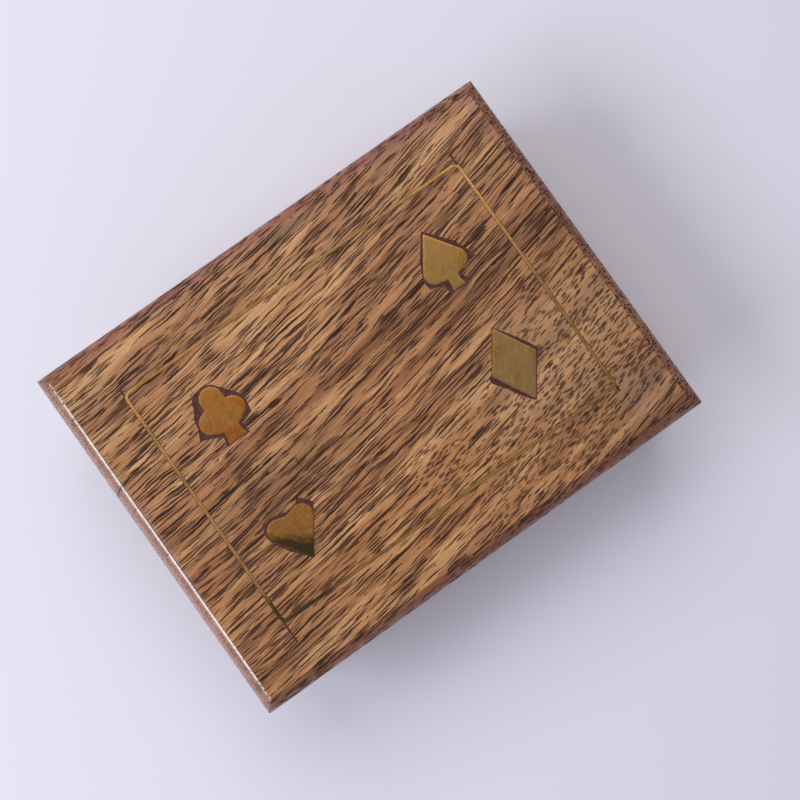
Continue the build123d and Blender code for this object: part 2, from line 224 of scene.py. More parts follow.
def make_log_space():
    graph, inside, out = new_group(
        "Log Space",
        {
            "Place": ("vector", (0, 0, 0)),
            "Turn": ("number", 0.0),
            "Slant": ("number", 0.0),
            "Bow": ("number", 0.0),
            "Waver": ("number", 0.6),
            "Cut From": ("vector", (0, 0, 0)),
        },
        {"Log": "vector"},
    )
    in_mm = graph.scaled(inside["Place"], 1 / MM)
    turned = graph.node(
        "ShaderNodeVectorRotate",
        {"rotation_type": "Z_AXIS"},
        {"Vector": in_mm, "Angle": inside["Turn"]},
    ).outputs[0]
    x, y, z = graph.split(turned)
    slant = graph.math("MULTIPLY", x, inside["Slant"])
    bow = graph.math("MULTIPLY", graph.math("MULTIPLY", x, x), inside["Bow"])
    level = graph.math("SUBTRACT", graph.math("SUBTRACT", y, slant), bow)
    slow = graph.noise(
        graph.vector("MULTIPLY", graph.join(x, level, z), (1 / 22, 1 / 9, 1 / 9)), detail=1.0
    )
    quick = graph.noise(
        graph.vector("MULTIPLY", graph.join(x, level, z), (1 / 4.5, 1 / 2.2, 1 / 2.2)), detail=2.0
    )
    waver = graph.math("MULTIPLY_ADD", quick, 0.45, slow)
    waver = graph.math("MULTIPLY", graph.math("SUBTRACT", waver, 0.72), inside["Waver"])
    across = graph.math("MULTIPLY_ADD", waver, 2.0, level)
    graph.put(out["Log"], graph.vector("ADD", graph.join(x, across, z), inside["Cut From"]))


make_log_space()

# %% [markdown]
# ## Open pores
# The dark strokes of this wood are vessels: tubes a third of a millimetre wide that the
# plane has cut open. One way to draw them is to stretch and threshold a noise, which gives
# soft blotches. Scattered points do it better. Space is divided into cells that are long
# along the fibres, each with a point in it, and a stroke is drawn close to its point. The
# strokes taper at both ends, because they are long spindles, and a random colour per cell
# makes some wide, some thin, and leaves some out. Length and Spacing are the cell's size in
# millimetres, and Width is the stroke's half width as a share of the spacing. The halo is
# the stained wood close round a stroke.

# %% Node group: Open Pores


def make_open_pores():
    graph, inside, out = new_group(
        "Open Pores",
        {
            "Log": ("vector", (0, 0, 0)),
            "Length": ("number", 12.0),
            "Spacing": ("number", 0.6),
            "Width": ("number", 0.3),
            "Share": ("number", 0.9),
        },
        {"Pore": "number", "Halo": "number"},
    )
    along = graph.math("DIVIDE", 1.0, inside["Length"])
    across = graph.math("DIVIDE", 1.0, inside["Spacing"])
    squeezed = graph.vector("MULTIPLY", inside["Log"], graph.join(along, across, across))
    distance, tint = graph.cells(squeezed)
    wide, kept, deep = graph.split(tint)
    radius = graph.math("MULTIPLY", graph.math("MULTIPLY_ADD", wide, 0.6, 0.52), inside["Width"])
    shown = graph.math("LESS_THAN", kept, inside["Share"])
    strength = graph.math("MULTIPLY", shown, graph.math("MULTIPLY_ADD", deep, 0.4, 0.6))
    core = graph.fade(distance, radius, graph.math("MULTIPLY", radius, 0.75))
    around = graph.fade(distance, graph.math("MULTIPLY", radius, 1.5), radius)
    graph.put(out["Pore"], graph.math("MULTIPLY", core, strength))
    graph.put(out["Halo"], graph.math("MULTIPLY", around, strength))


make_open_pores()

# %% [markdown]
# ## Figure and fibre
# Between the pores the wood has two more layers. The figure is the slow change from dark
# to light bands, centimetres long, where the tree grew faster or slower. The fibre is the
# fine silk in it, a sixth of a millimetre wide. Both are noises that are stretched along
# the log. Three colours are mixed by the figure, and the fibre shifts them a little.

# %% Node groups: Figure and Fibre


def make_figure():
    graph, inside, out = new_group(
        "Figure",
        {
            "Log": ("vector", (0, 0, 0)),
            "Dark": ("colour", paint(110, 74, 48)),
            "Middle": ("colour", paint(165, 120, 82)),
            "Light": ("colour", paint(196, 154, 114)),
            "Band Length": ("number", 45.0),
            "Band Width": ("number", 3.2),
        },
        {"Color": "colour", "Band": "number"},
    )
    along = graph.math("DIVIDE", 1.0, inside["Band Length"])
    across = graph.math("DIVIDE", 1.0, inside["Band Width"])
    squeezed = graph.vector("MULTIPLY", inside["Log"], graph.join(along, across, across))
    band = graph.noise(squeezed, detail=3.0, roughness=0.6, distortion=0.3)
    lower = graph.mix(graph.fade(band, 0.30, 0.50), inside["Dark"], inside["Middle"])
    upper = graph.mix(graph.fade(band, 0.48, 0.68), lower, inside["Light"])
    graph.put(out["Color"], upper)
    graph.put(out["Band"], band)


def make_fibre():
    graph, inside, out = new_group(
        "Fibre",
        {"Log": ("vector", (0, 0, 0)), "Length": ("number", 3.0), "Width": ("number", 0.16)},
        {"Fibre": "number", "Flecks": "number"},
    )
    along = graph.math("DIVIDE", 1.0, inside["Length"])
    across = graph.math("DIVIDE", 1.0, inside["Width"])
    squeezed = graph.vector("MULTIPLY", inside["Log"], graph.join(along, across, across))
    graph.put(out["Fibre"], graph.noise(squeezed, detail=2.0, roughness=0.65))
    flecks = graph.noise(graph.scaled(inside["Log"], 2.2), detail=2.0, roughness=0.7)
    graph.put(out["Flecks"], flecks)


make_figure()
make_fibre()

# %% [markdown]
# ## Patches and hairlines
# Some marks are in one place only: a dark streak, a pale area, a crack. A patch is a soft
# ellipse that is turned to lie along the grain, with an uneven rim. A hairline is a thin
# line between two points. Both are masks, from 0 to 1, that a material uses to mix in
# another colour.

# %% Node groups: Soft Patch and Hairline


def make_soft_patch():
    graph, inside, out = new_group(
        "Soft Patch",
        {
            "Place": ("vector", (0, 0, 0)),
            "Centre": ("vector", (0, 0, 0)),
            "Half Length": ("number", 10.0),
            "Half Width": ("number", 3.0),
            "Turn": ("number", 0.0),
            "Uneven": ("number", 0.5),
        },
        {"Mask": "number"},
    )
    in_mm = graph.scaled(inside["Place"], 1 / MM)
    apart = graph.vector("SUBTRACT", in_mm, inside["Centre"])
    turned = graph.node(
        "ShaderNodeVectorRotate",
        {"rotation_type": "Z_AXIS", "invert": True},
        {"Vector": apart, "Angle": inside["Turn"]},
    ).outputs[0]
    x, y, _ = graph.split(turned)
    along = graph.math("DIVIDE", x, inside["Half Length"])
    across = graph.math("DIVIDE", y, inside["Half Width"])
    reach = graph.vector("LENGTH", graph.join(along, across, 0.0))
    rough = graph.noise(graph.vector("MULTIPLY", turned, (1 / 9, 1 / 1.4, 1 / 1.4)), detail=2.0)
    rough = graph.math("MULTIPLY", graph.math("SUBTRACT", rough, 0.5), inside["Uneven"])
    reach = graph.math("MULTIPLY_ADD", rough, 2.0, reach)
    graph.put(out["Mask"], graph.fade(reach, 1.15, 0.35))


def make_hairline():
    graph, inside, out = new_group(
        "Hairline",
        {
            "Place": ("vector", (0, 0, 0)),
            "Start": ("vector", (0, 0, 0)),
            "End": ("vector", (1, 0, 0)),
            "Width": ("number", 0.2),
        },
        {"Mask": "number"},
    )
    x, y, _ = graph.split(graph.scaled(inside["Place"], 1 / MM))
    shake = graph.noise(graph.join(x, y, 0.0), scale=0.8, detail=3.0, roughness=0.7)
    shake = graph.math("MULTIPLY", graph.math("SUBTRACT", shake, 0.5), 0.7)
    here = graph.join(graph.math("ADD", x, shake), graph.math("ADD", y, shake), 0.0)
    line = graph.vector("SUBTRACT", inside["End"], inside["Start"])
    apart = graph.vector("SUBTRACT", here, inside["Start"])
    along = graph.math(
        "DIVIDE", graph.vector("DOT_PRODUCT", apart, line), graph.vector("DOT_PRODUCT", line, line),
        clamp=True,
    )
    off = graph.vector("SUBTRACT", apart, graph.scaled(line, along))
    far = graph.math("DIVIDE", graph.vector("LENGTH", off), inside["Width"])
    graph.put(out["Mask"], graph.fade(far, 0.65, 0.3))


make_soft_patch()
make_hairline()

# %% [markdown]
# ## The edge of a moulded board
# The lid and the base are both run through the same cutter, which leaves a round with a
# tiny step above it. The step is painted dark: partly the wax and dirt that stay in it, and
# partly painted shade of the crease. The curve is a little redder and darker. The group
# measures how far outside the flat top a point lies, in millimetres, and turns it into two
# masks.

# %% Node group: Moulded Edge
BOARD_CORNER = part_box("top_panel")[1]
MOULDING = 3.0
STEP_AT = 0.1
STEP_HALF_WIDTH = 0.24


def make_moulded_edge():
    graph, inside, out = new_group(
        "Moulded Edge",
        {"Place": ("vector", (0, 0, 0)), "Corner": ("vector", (0, 0, 0))},
        {"Step": "number", "Curve": "number"},
    )
    offset = graph.vector(
        "SUBTRACT", graph.vector("ABSOLUTE", inside["Place"]), inside["Corner"]
    )
    x, y, _ = graph.split(graph.scaled(offset, 1 / MM))
    outward = graph.math("ADD", graph.math("MAXIMUM", x, y), MOULDING)
    uneven = graph.noise(graph.scaled(inside["Place"], 1 / MM), scale=0.35, detail=3.0)
    band = graph.math("ABSOLUTE", graph.math("SUBTRACT", outward, STEP_AT))
    step = graph.fade(band, STEP_HALF_WIDTH, 0.04)
    step = graph.math("MULTIPLY", step, graph.fade(uneven, 0.3, 0.7, 0.3, 0.8))
    graph.put(out["Step"], step)
    graph.put(out["Curve"], graph.fade(outward, STEP_AT, 0.6))


make_moulded_edge()

# %% [markdown]
# ## The wood
# All boards come from the same kind of tree, so one function makes every wood material.
# Each board takes its own place in the log and its own grain direction, and the values of
# the shared groups are set per board. Eight layers of pores lie on top of each other, five
# with long strokes and three with short dashes, and a board shows one kind or the other.
# The surface is oiled and waxed: a thin clear coat lies on the wood and is missing inside
# the pores, which stay dull and dark.

# %% Wood material
PORE_PAINT = paint(32, 13, 13)
HALO_PAINT = paint(84, 46, 32)
PORE_SIZES = (
    (34.0, 0.58, 0.33, "long"),
    (22.0, 0.62, 0.34, "long"),
    (15.0, 0.56, 0.35, "long"),
    (10.0, 0.60, 0.36, "long"),
    (7.0, 0.54, 0.36, "long"),
    (4.2, 0.66, 0.38, "short"),
    (3.2, 0.60, 0.39, "short"),
    (2.4, 0.62, 0.39, "short"),
)
STEP_DIRT_AND_SHADE = paint(52, 30, 24)
RED_PAINT = paint(136, 78, 60)
BUMP_UNIT = 0.1 * MM


def new_material(name):
    material = bpy.data.materials.new(name)
    material.use_nodes = True
    material.node_tree.nodes.clear()
    graph = Graph(material.node_tree)
    place = graph.node("ShaderNodeTexCoord").outputs["Object"]
    return material, graph, place


def finish_material(graph, shader_inputs, height=None):
    """Adds the surface shader, with a bump from a height that is given in BUMP_UNIT."""
    shader = graph.node("ShaderNodeBsdfPrincipled", inputs=shader_inputs)
    if height is not None:
        bump = graph.node(
            "ShaderNodeBump", inputs={"Height": height, "Distance": BUMP_UNIT, "Strength": 1.0}
        )
        graph.put(shader.inputs["Normal"], bump.outputs[0])
    output = graph.node("ShaderNodeOutputMaterial")
    graph.tree.links.new(shader.outputs[0], output.inputs["Surface"])


def wood_layers(graph, log, colours, short=0.0):
    """The wood of one board: its colour, its pores from 0 to 1, and its height. short is 0
    where the board shows long strokes and 1 where it shows short dashes."""
    dark, middle, light = colours
    figure = graph.group("Figure", {"Log": log, "Dark": dark, "Middle": middle, "Light": light})
    fibre = graph.group("Fibre", {"Log": log})
    crowd = graph.noise(graph.vector("MULTIPLY", log, (1 / 13, 1 / 2.2, 1 / 2.2)), detail=2.0)
    share = graph.fade(crowd, 0.34, 0.58, 0.4, 1.0)
    lines = graph.noise(graph.vector("MULTIPLY", log, (1 / 26, 1 / 1.3, 1 / 1.3)), detail=2.0)
    pores = 0.0
    halos = 0.0
    few = graph.math("SUBTRACT", 1.0, short)
    for number, (length, spacing, width, part) in enumerate(PORE_SIZES):
        shifted = graph.vector("ADD", log, (31.0 * number, 17.0 * number, 23.0 * number))
        kept = short if part == "short" else few
        shown = graph.math("MULTIPLY", graph.math("MAXIMUM", share, short), kept)
        layer = graph.group(
            "Open Pores",
            {"Log": shifted, "Length": length, "Spacing": spacing, "Width": width, "Share": shown},
        )
        kept = graph.fade(kept, 0.0, 0.5)
        pores = graph.math("MAXIMUM", pores, graph.math("MULTIPLY", layer["Pore"], kept))
        halos = graph.math("MAXIMUM", halos, graph.math("MULTIPLY", layer["Halo"], kept))
    silk = graph.fade(fibre["Fibre"], 0.3, 0.7, 0.86, 1.1)
    flecks = graph.fade(fibre["Flecks"], 0.3, 0.7, 0.90, 1.10)
    shade = graph.math("MULTIPLY", silk, flecks)
    shade = graph.math("MULTIPLY", shade, graph.fade(lines, 0.3, 0.56, 0.84, 1.02))
    colour = graph.scaled(figure["Color"], shade)
    colour = graph.mix(graph.math("MULTIPLY", halos, 0.62), colour, HALO_PAINT)
    height = graph.math("SUBTRACT", graph.math("MULTIPLY", fibre["Fibre"], 0.12), pores)
    return colour, pores, height


def board_material(name, board):
    """The wood of a plain board. Its turn swings the grain from X towards Y."""
    material, graph, place = new_material(name)
    log = graph.group(
        "Log Space",
        {
            "Place": place, "Turn": board["turn"], "Slant": board["slant"], "Bow": 0.0003,
            "Waver": 0.8, "Cut From": board["cut_from"],
        },
    )["Log"]
    colour, pores, height = wood_layers(graph, log, board["colours"])
    colour = graph.mix(graph.math("MULTIPLY", pores, board["dark_pores"]), colour, PORE_PAINT)
    if board["moulded"]:
        edge = graph.group("Moulded Edge", {"Place": place, "Corner": BOARD_CORNER})
        # the step's dark line is dirt and painted shade of the crease
        colour = graph.mix(graph.math("MULTIPLY", edge["Step"], 0.75), colour, STEP_DIRT_AND_SHADE)
        colour = graph.mix(graph.math("MULTIPLY", edge["Curve"], 0.3), colour, RED_PAINT)
    shader = {
        "Base Color": colour,
        "Roughness": graph.fade(pores, 0.0, 1.0, 0.4, 0.85),
        "Specular IOR Level": 0.25,
        "Coat Weight": graph.fade(pores, 0.0, 0.6, board["wax"], 0.0),
        "Coat Roughness": 0.24,
    }
    finish_material(graph, shader, height)
    return material


BOARD_COLOURS = (paint(134, 86, 50), paint(169, 116, 74), paint(198, 149, 102))
INNER_COLOURS = (paint(152, 108, 72), paint(184, 140, 98), paint(206, 164, 120))
PLAIN_COLOURS = (paint(176, 136, 98), paint(204, 168, 128), paint(220, 188, 150))
ACROSS = math.radians(90)


def outer_board(turn, cut_from, slant=0.03, moulded=False):
    """An outer board: oiled and waxed, with dirt in its pores."""
    return {
        "turn": turn, "cut_from": cut_from, "colours": BOARD_COLOURS, "slant": slant,
        "wax": 0.4, "dark_pores": 0.84, "moulded": moulded,
    }


def inner_board(turn, cut_from, colours=INNER_COLOURS, wax=0.1):
    """A board of the drawer's inside: paler, nearly bare, with cleaner pores."""
    return {**outer_board(turn, cut_from), "colours": colours, "wax": wax, "dark_pores": 0.5}


BOARDS = {
    "base_panel": outer_board(0, (160, 12, 30), slant=-0.05, moulded=True),
    "case_side_left": outer_board(ACROSS, (40, 60, 90)),
    "case_side_right": outer_board(ACROSS, (90, 45, 10), slant=0.06),
    "case_back": outer_board(0, (20, 130, 64), slant=-0.02),
    "drawer_front": outer_board(0, (75, 32, 140), slant=0.05),
    "drawer_side_left": inner_board(ACROSS, (12, 80, 20)),
    "drawer_side_right": inner_board(ACROSS, (66, 20, 50)),
    "drawer_back": inner_board(0, (50, 72, 33)),
    "drawer_bottom": inner_board(0, (5, 9, 84), PLAIN_COLOURS, wax=0.0),
}


def dress(node, material):
    """Gives a piece of the frame its material."""
    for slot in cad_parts[node].material_slots:
        slot.material = material


for node, values in BOARDS.items():
    dress(node, board_material(node + "_wood", values))
print(len(BOARDS), "plain boards have their wood")

# %% [markdown]
# ## The lid's own wood
# The lid is the board that everybody sees, so its wood follows the real one closely. The
# shared groups give the grain. Soft patches then put each mark where it is: the dark bands
# left of the middle, the dark streak that climbs to the right, the warm front, the pale
# area round the diamond. The pores are long on the left and turn to short dashes at the
# right front, where the fibres dive into the board. A crack runs in from the left edge, and
# a short scratch crosses the grain beside the heart. Along the left edge the wax is worn
# smooth, so the pores are filled there and the coat is strongest.
# Some tints are painted light: the right and front edges, which face away from the light, are
# painted darker as shade, the left edge is painted lighter as sheen, and a thin dark line along the
# left crease is painted shade.

# %% Lid material


def patch(graph, place, centre, half_size, turn, uneven=0.5):
    """The mask of one soft patch. Sizes are in millimetres and the turn in degrees."""
    values = {
        "Place": place, "Centre": (*centre, 0), "Half Length": half_size[0],
        "Half Width": half_size[1], "Turn": math.radians(turn), "Uneven": uneven,
    }
    return graph.group("Soft Patch", values)["Mask"]


def lid_material():
    material, graph, place = new_material("lid_wood")
    log = graph.group(
        "Log Space",
        {"Place": place, "Slant": 0.18, "Bow": 0.0006, "Waver": 0.9, "Cut From": (210, 40, 75)},
    )["Log"]
    right_front = patch(graph, place, (50, -22), (52, 22), 24, 0.6)
    middle_front = patch(graph, place, (4, -24), (9, 7), 0, 0.6)
    short = graph.math("MAXIMUM", right_front, middle_front)
    colour, pores, height = wood_layers(graph, log, BOARD_COLOURS, short=short)
    for centre, half_size, turn, shade in LID_SHADES:
        mask = patch(graph, place, centre, half_size, turn)
        colour = graph.scaled(colour, graph.fade(mask, 0.0, 1.0, 1.0, shade))
    for centre, half_size, turn, share, tint in LID_TINTS:
        mask = patch(graph, place, centre, half_size, turn)
        colour = graph.mix(graph.math("MULTIPLY", mask, share), colour, tint)
    edge = graph.group("Moulded Edge", {"Place": place, "Corner": BOARD_CORNER})
    worn = patch(graph, place, (-62.6, 0), (56, 3.2), 90, 0.1)
    open_pores = graph.math("MULTIPLY", pores, graph.fade(worn, 0.0, 0.4, 0.96, 0.5))
    colour = graph.mix(graph.math("MULTIPLY", edge["Curve"], 0.4), colour, RED_PAINT)
    colour = graph.mix(open_pores, colour, PORE_PAINT)
    # the step's dark line is dirt and painted shade of the crease
    colour = graph.mix(graph.math("MULTIPLY", edge["Step"], 0.6), colour, STEP_DIRT_AND_SHADE)
    crack = graph.math("MAXIMUM", *(
        graph.group("Hairline", {"Place": place, "Start": start, "End": end, "Width": 0.42})["Mask"]
        for start, end in CRACK
    ))
    start, end = SCRATCH
    scratch = graph.group(
        "Hairline", {"Place": place, "Start": start, "End": end, "Width": 0.22}
    )["Mask"]
    crack = graph.math("MAXIMUM", crack, graph.math("MULTIPLY", scratch, 0.7))
    colour = graph.mix(graph.math("MULTIPLY", crack, 0.9), colour, CRACK_PAINT)
    polish = graph.fade(worn, 0.0, 0.4, 0.22, 1.0)
    filled = graph.fade(worn, 0.0, 0.4, 1.0, 0.25)
    holes = graph.math("MULTIPLY", graph.math("MAXIMUM", pores, crack), filled)
    holes = graph.fade(holes, 0.0, 0.7, 1.0, 0.0)
    height = graph.math("MULTIPLY", height, filled)
    shader = {
        "Base Color": colour,
        "Roughness": graph.fade(pores, 0.0, 1.0, 0.4, 0.8),
        "Specular IOR Level": 0.2,
        "Coat Weight": graph.math("MULTIPLY", polish, holes),
        "Coat Roughness": 0.22,
        "Coat IOR": 2.1,
    }
    height = graph.math("SUBTRACT", height, graph.math("MULTIPLY", crack, CRACK_DEPTH))
    finish_material(graph, shader, height)
    return material


LID_SHADES = (
    # centre, half length and half width in mm, turn in degrees, shade
    ((-33, -3.5), (27, 7.0), 3, 0.80),
    ((-34, -8.6), (14, 1.1), 0, 0.74),
    ((-15, -5.2), (10, 0.7), -4, 0.52),
    ((-15, -13.2), (12, 0.6), 0, 0.52),
    ((40, 7.5), (25, 4.2), 17, 0.80),
    ((52, 8.0), (14, 6.0), 10, 0.94),
    ((46, -38), (20, 7.0), 8, 0.88),
    ((-50, 37), (16, 8.0), 6, 0.90),
    ((-46, -38), (18, 7.0), 4, 0.94),
    ((-13, -21), (19, 8.0), 8, 1.17),
    ((8, -3), (18, 5.0), 8, 1.07),
    ((44, 37), (18, 6.0), 12, 1.08),
    ((0, 24), (40, 7.0), 6, 1.06),
    ((52, -9), (12, 6.0), 10, 1.14),
)
LID_TINTS = (
    # centre, half length and half width in mm, turn in degrees, share, tint
    # painted shade: the right edge, which faces away from the light, is made darker
    ((62.0, -8), (60, 1.6), 90, 0.6, paint(100, 60, 50)),
    ((60, 36), (16, 3.2), 90, 0.5, paint(140, 88, 72)),
    # painted shade: the front edge and its right end, which face away from the light, are made
    # darker
    ((4, -46.4), (74, 2.0), 0, 0.7, paint(104, 60, 42)),
    ((48, -45), (22, 3.4), 0, 0.5, paint(88, 48, 34)),
    ((2, 46.0), (70, 2.2), 0, 0.5, paint(146, 96, 84)),
    ((44, 45.4), (20, 1.6), 0, 0.5, paint(122, 66, 60)),
    # painted sheen: the left edge, which faces the window, is made lighter and greyer
    ((-62.4, 0), (56, 1.6), 90, 0.6, paint(176, 132, 112)),
    # painted shade: a thin dark line along the left edge's crease
    ((-60.4, 4), (34, 0.35), 90, 0.6, paint(96, 52, 62)),
    ((44, -17), (34, 17), 12, 0.34, paint(184, 146, 112)),
    ((54, -36), (12, 9), 10, 0.35, paint(142, 112, 94)),
    ((5, 43.0), (8, 1.7), 0, 0.55, paint(84, 72, 54)),
    ((-12, -30), (46, 12), 4, 0.28, paint(170, 112, 62)),
)
CRACK = (((-63.2, 14.4, 0), (-60.9, 15.6, 0)), ((-60.9, 15.6, 0), (-48.3, 18.1, 0)))
CRACK_PAINT = paint(40, 20, 24)
CRACK_DEPTH = 2.0
SCRATCH = ((-23.8, -2.2, 0), (-23.6, -4.9, 0))
dress("top_panel", lid_material())
print("the lid has", len(LID_SHADES), "shades and", len(LID_TINTS), "tints")

# %% [markdown]
# ## Pieces let into the lid
# The brass and the resin lie flush in the lid. In the frame they are flat slabs with sharp
# rims. Real ones were hammered in, filled round with resin and sanded down together, so
# the brass has softly rounded rims and a surface that isn't quite flat, and the resin has
# shrunk a little into its pocket. A bevel would round the rims only. Here each piece is
# built again from its own outline: the outline is read from the frame, filled with a fine
# net of triangles, and each point is lowered by a height that depends on how far it lies
# from the rim.

# %% Outlines of the frame's pieces
SAME_POINT = 0.001 * MM
SAME_LEVEL = 0.01 * MM


def top_outlines(node):
    """The closed outlines of a flat-topped piece of the frame, each a list of (x, y)."""
    shell = bmesh.new()
    shell.from_mesh(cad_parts[node].data)
    bmesh.ops.remove_doubles(shell, verts=shell.verts, dist=SAME_POINT)
    shell.faces.index_update()
    shell.normal_update()
    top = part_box(node)[1].z
    flat = [
        face for face in shell.faces
        if face.normal.z > 0.9 and face.calc_center_median().z > top - SAME_LEVEL
    ]
    numbers = {face.index for face in flat}
    following = {}
    for face in flat:
        for corner in face.loops:
            if sum(other.index in numbers for other in corner.edge.link_faces) == 1:
                following[corner.vert] = corner.link_loop_next.vert
    outlines = []
    while following:
        first, point = following.popitem()
        outline = [first.co.xy.to_tuple()]
        while point != first:
            outline.append(point.co.xy.to_tuple())
            point = following.pop(point)
        outlines.append(outline)
    shell.free()
    return outlines


def evenly(outline, step):
    """The same outline with points added, so that no side is longer than step."""
    points = []
    for start, end in zip(outline, outline[1:] + outline[:1]):
        start, end = np.array(start), np.array(end)
        count = max(1, math.ceil(np.linalg.norm(end - start) / step))
        points += [tuple(start + (end - start) * i / count) for i in range(count)]
    return points


def sides(outlines):
    """The start and end points of every side of the outlines."""
    starts = np.array([point for outline in outlines for point in outline])
    ends = np.array([point for outline in outlines for point in outline[1:] + outline[:1]])
    return starts, ends


def lies_inside(points, outlines):
    """True for the points that lie inside: a ray from them crosses an odd number of sides."""
    starts, ends = sides(outlines)
    x, y = points[:, 0:1], points[:, 1:2]
    rises = (starts[:, 1] > y) != (ends[:, 1] > y)
    run, rise = (ends - starts).T
    slope = run / np.where(rise == 0, 1, rise)
    crossed = rises & (x < starts[:, 0] + (y - starts[:, 1]) * slope)
    return crossed.sum(1) % 2 == 1


def from_rim(points, outlines):
    """How far each point lies from the nearest side."""
    starts, ends = sides(outlines)
    line = ends - starts
    apart = points[:, None, :] - starts
    along = (apart * line).sum(2) / np.maximum((line * line).sum(1), 1e-18)
    off = apart - np.clip(along, 0, 1)[:, :, None] * line
    return np.sqrt((off * off).sum(2)).min(1)


print("the club's outline has", len(top_outlines("inlay_club")[0]), "points")

# %% [markdown]
# ## A slab with a shaped top
# The net starts with the outline's own points, spaced evenly. Inside it come rows of points
# that are set off by half a step, which gives nearly even triangles, and a function of
# Blender's joins them all without crossing the outline. The same net serves as the top and
# the underside, and a wall closes the slab round the rim. Each point also stores how far it
# lies from the rim, so that a material can use it later.

# %% A slab with a shaped top


def fill_outlines(outlines, step):
    """A net of triangles between the outlines: its points and its faces."""
    points = []
    links = []
    for outline in outlines:
        rim = evenly(outline, step)
        first = len(points)
        links += [(first + i, first + (i + 1) % len(rim)) for i in range(len(rim))]
        points += rim
    low, high = np.min(points, axis=0), np.max(points, axis=0)
    rows = np.arange(low[1], high[1], step * 0.87)
    grid = [
        (x, y)
        for number, y in enumerate(rows)
        for x in np.arange(low[0] + step / 2 * (number % 2), high[0], step)
    ]
    grid = np.array(grid)
    grid = grid[lies_inside(grid, outlines)]
    grid = grid[from_rim(grid, outlines) > step * 0.45]
    net = delaunay_2d_cdt([Vector(p) for p in [*points, *grid]], links, [], 0, 1e-9)
    points, faces = np.array([tuple(p) for p in net[0]]), net[2]
    centres = np.array([points[list(face)].mean(0) for face in faces])
    kept = lies_inside(centres, outlines)
    return points, [face for face, keep in zip(faces, kept) if keep]


SHARP_ANGLE = math.radians(50)


def shaped_slab(name, node, step, top_at):
    """A closed slab in the place of a node. top_at gives how far each point of its top
    lies below the node's, from its place and its distance from the rim, all in metres."""
    outlines = top_outlines(node)
    low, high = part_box(node)
    points, faces = fill_outlines(outlines, step)
    rim = from_rim(points, outlines)
    drop = np.maximum(top_at(points, rim), 0)
    count = len(points)
    top = [(x, y, high.z - d) for (x, y), d in zip(points, drop)]
    bottom = [(x, y, low.z) for x, y in points]
    walls = []
    directed = {(face[i], face[(i + 1) % 3]) for face in faces for i in range(3)}
    for a, b in directed:
        if (b, a) not in directed:
            walls.append((b, a, a + count, b + count))
    under = [tuple(i + count for i in reversed(face)) for face in faces]
    mesh = bpy.data.meshes.new(name)
    mesh.from_pydata(top + bottom, [], [tuple(f) for f in faces] + under + walls)
    field = mesh.attributes.new("rim", "FLOAT", "POINT")
    field.data.foreach_set("value", np.concatenate([rim, rim * 0]).astype(np.float32) / MM)
    shell = bmesh.new()
    shell.from_mesh(mesh)
    loose = [point for point in shell.verts if not point.link_faces]
    bmesh.ops.delete(shell, geom=loose, context="VERTS")
    bmesh.ops.recalc_face_normals(shell, faces=shell.faces)
    for face in shell.faces:
        face.smooth = True
    for edge in shell.edges:
        edge.smooth = len(edge.link_faces) != 2 or edge.calc_face_angle(0) < SHARP_ANGLE
    shell.to_mesh(mesh)
    shell.free()
    piece = bpy.data.objects.new(name, mesh)
    bpy.context.scene.collection.objects.link(piece)
    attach(piece, "case")
    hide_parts(node)
    print(name, "has", len(mesh.polygons), "faces")
    return piece


def waves(points, size, seed):
    """A smooth field over the points, from about -1 to 1, with bumps of this size."""
    return np.array([noise.noise((x / size, y / size, seed)) for x, y in points])


def rounded(rim, width):
    """0 inside, and up to 1 at the very rim, like a quarter round of this width."""
    share = np.clip(1 - rim / width, 0, 1)
    return 1 - np.sqrt(1 - share ** 2)


# %% [markdown]
# ## Brass
# The suits and the border are brass, sanded flush with the wood and brushed. Years have
# turned it: some places are golden, some olive, some orange where it was last rubbed. Two
# groups make this. Brush marks are a noise that is stretched more than fifty times in the
# direction of the brush. The patina is a slow noise that picks between three colours.

# %% Node groups: Brush Marks and Patina


def make_brush_marks():
    graph, inside, out = new_group(
        "Brush Marks",
        {"Place": ("vector", (0, 0, 0)), "Turn": ("number", 0.0), "Width": ("number", 0.07)},
        {"Fine": "number", "Coarse": "number"},
    )
    turned = graph.node(
        "ShaderNodeVectorRotate",
        {"rotation_type": "Z_AXIS", "invert": True},
        {"Vector": graph.scaled(inside["Place"], 1 / MM), "Angle": inside["Turn"]},
    ).outputs[0]
    x, y, z = graph.split(turned)
    bent = graph.noise(graph.join(x, y, z), scale=0.25, detail=1.0)
    y = graph.math("MULTIPLY_ADD", bent, 0.8, y)
    across = graph.math("DIVIDE", y, inside["Width"])
    fine = graph.noise(graph.join(graph.math("DIVIDE", x, 4.0), across, 0.0), detail=2.0)
    coarse = graph.noise(
        graph.join(graph.math("DIVIDE", x, 9.0), graph.math("DIVIDE", across, 5.0), 3.0), detail=1.0
    )
    graph.put(out["Fine"], fine)
    graph.put(out["Coarse"], coarse)


